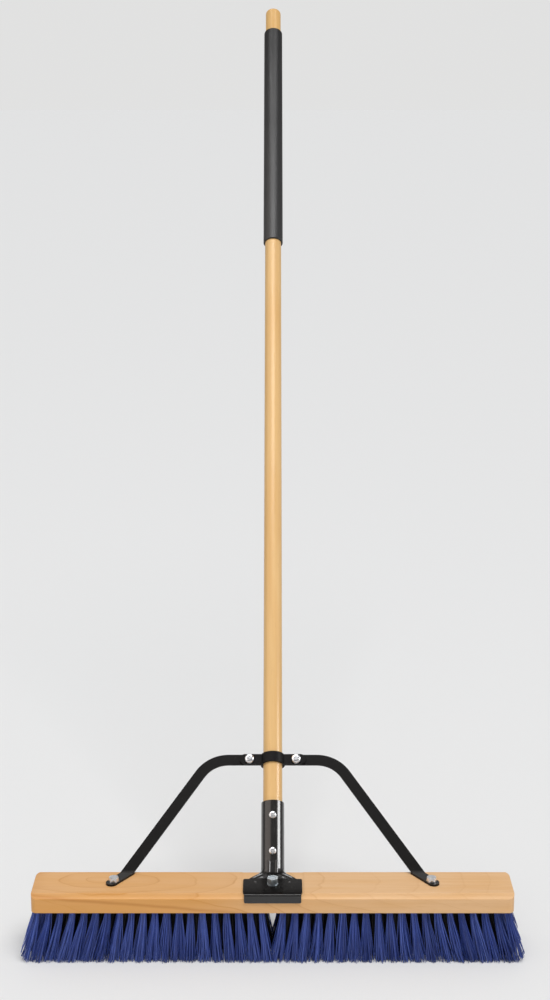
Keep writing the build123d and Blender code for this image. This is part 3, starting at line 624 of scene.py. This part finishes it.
# ---------------------------------------------------------------- floor, light and camera
bpy.ops.object.select_all(action="DESELECT")
bpy.ops.mesh.primitive_plane_add(size=60.0, location=(0, 0, 0))
floor = bpy.context.object
floor.name = "floor"
floor_material, _, floor_shader = new_material("floor_paper")
floor_shader.inputs["Base Color"].default_value = (0.83, 0.83, 0.826, 1.0)
floor_shader.inputs["Roughness"].default_value = 0.9
floor_shader.inputs["Specular IOR Level"].default_value = 0.1
floor.data.materials.append(floor_material)


def make_studio():
    """Walls that are pale to look at and dim as a source of light, so the gloss stays deep."""
    world = bpy.data.worlds.new("studio")
    bpy.context.scene.world = world
    world.use_nodes = True
    tree = world.node_tree
    tree.nodes.clear()
    ray = add(tree, "ShaderNodeLightPath")
    wall = add(tree, "ShaderNodeBackground", values={"Color": (0.755, 0.755, 0.752, 1.0), "Strength": 1.0})
    shine = add(tree, "ShaderNodeBackground", values={"Color": (1.0, 0.98, 0.97, 1.0), "Strength": 0.30})
    room = add(tree, "ShaderNodeBackground", values={"Color": (0.97, 0.98, 1.0, 1.0), "Strength": 0.40})
    polished = add(tree, "ShaderNodeMixShader")
    either = add(tree, "ShaderNodeMixShader")
    sky = add(tree, "ShaderNodeOutputWorld")
    link(tree, ray.outputs["Is Glossy Ray"], polished.inputs["Fac"])
    link(tree, room.outputs["Background"], polished.inputs[1])
    link(tree, shine.outputs["Background"], polished.inputs[2])
    link(tree, ray.outputs["Is Camera Ray"], either.inputs["Fac"])
    link(tree, polished.outputs["Shader"], either.inputs[1])
    link(tree, wall.outputs["Background"], either.inputs[2])
    link(tree, either.outputs["Shader"], sky.inputs["Surface"])


def broad_light(name, direction, strength, angle):
    """Even light from one side, soft-edged, over the whole floor."""
    lamp = bpy.data.lights.new(name, "SUN")
    lamp.energy = strength
    lamp.angle = math.radians(angle)
    holder = bpy.data.objects.new(name, lamp)
    holder.rotation_euler = Vector(direction).to_track_quat("-Z", "Y").to_euler()
    bpy.context.scene.collection.objects.link(holder)
    return holder


def reflected_panel(name, place, aim, along, width, length, radiance, colour=(1.0, 1.0, 1.0), spread=180.0):
    """A studio panel that only shows in polished surfaces. Its long side runs along the given line.

    A panel with a narrow spread keeps the same radiance along its axis and fades towards the side.
    """
    place = Vector(place)
    face = (Vector(aim) - place).normalized()
    across = face.cross(Vector(along)).normalized()
    up = across.cross(face)
    lamp = bpy.data.lights.new(name, "AREA")
    lamp.shape = "RECTANGLE"
    lamp.size = width
    lamp.size_y = length
    lamp.energy = radiance * width * length * math.pi
    if spread < 180.0:
        half = math.radians(spread / 2)
        lamp.spread = 2 * half
        lamp.energy *= 1 - half / math.tan(half)
    lamp.color = colour
    holder = bpy.data.objects.new(name, lamp)
    holder.matrix_world = Matrix((
        (across.x, up.x, -face.x, place.x), (across.y, up.y, -face.y, place.y),
        (across.z, up.z, -face.z, place.z), (0.0, 0.0, 0.0, 1.0)))
    holder.visible_diffuse = False
    bpy.context.scene.collection.objects.link(holder)
    return holder


def ceiling_panel(name, x, y, along, width, length, radiance, spread=180.0):
    """A panel under the ceiling that faces straight down."""
    height, low = 2.4, 0.1
    reflected_panel(name, (x, y, height), (x, y, low), along, width, length, radiance, spread=spread)


make_studio()
key = broad_light("even_key", direction=(-0.17, 0.30, -1.0), strength=1.84, angle=40.0)
key.visible_glossy = False
fill = reflected_panel(
    "front_fill", place=(-0.6, -4.0, 2.1), aim=(0.0, 0.0, 0.3), along=(0.0, 0.0, 1.0), width=2.4, length=1.4,
    radiance=1.95)
fill.visible_diffuse = True
fill.visible_glossy = False
reflected_panel(
    "strip_right", place=(2.19, -0.12, 1.43), aim=(0.0, 0.15, 0.3), along=(-0.26, 0.41, 0.55), width=1.15,
    length=0.66, radiance=15.0)
reflected_panel(
    "warm_left", place=(-1.57, -0.08, 1.73), aim=(0.0, 0.3, 0.5), along=(0.0, 1.0, 1.0), width=2.4,
    length=3.0, radiance=1.3, colour=(1.0, 0.88, 0.80))
ceiling_panel("ceiling", 0.0, 0.10, (0.0, 1.0, 0.0), width=1.2, length=0.50, radiance=6.5)
ceiling_panel("ceiling_back", 0.0, 0.725, (0.0, 1.0, 0.0), width=1.2, length=0.75, radiance=7.5, spread=50.0)
for side, name in ((-1, "wing_left"), (1, "wing_right")):
    ceiling_panel(name, 0.44 * side, 1.30, (0.27 * side, 1.0, 0.0), width=0.34, length=1.0, radiance=15.0)

CAMERA_TILT = 14.441
camera_data = bpy.data.cameras.new("camera")
camera_data.lens = 63.7
camera_data.sensor_width = 36.0
camera = bpy.data.objects.new("camera", camera_data)
camera.location = (0.003, -2.0641, 1.1273)
camera.rotation_euler = (math.radians(90.0 - CAMERA_TILT), 0.0, 0.0)
bpy.context.scene.collection.objects.link(camera)
bpy.context.scene.camera = camera
bpy.context.scene.view_settings.view_transform = "Standard"
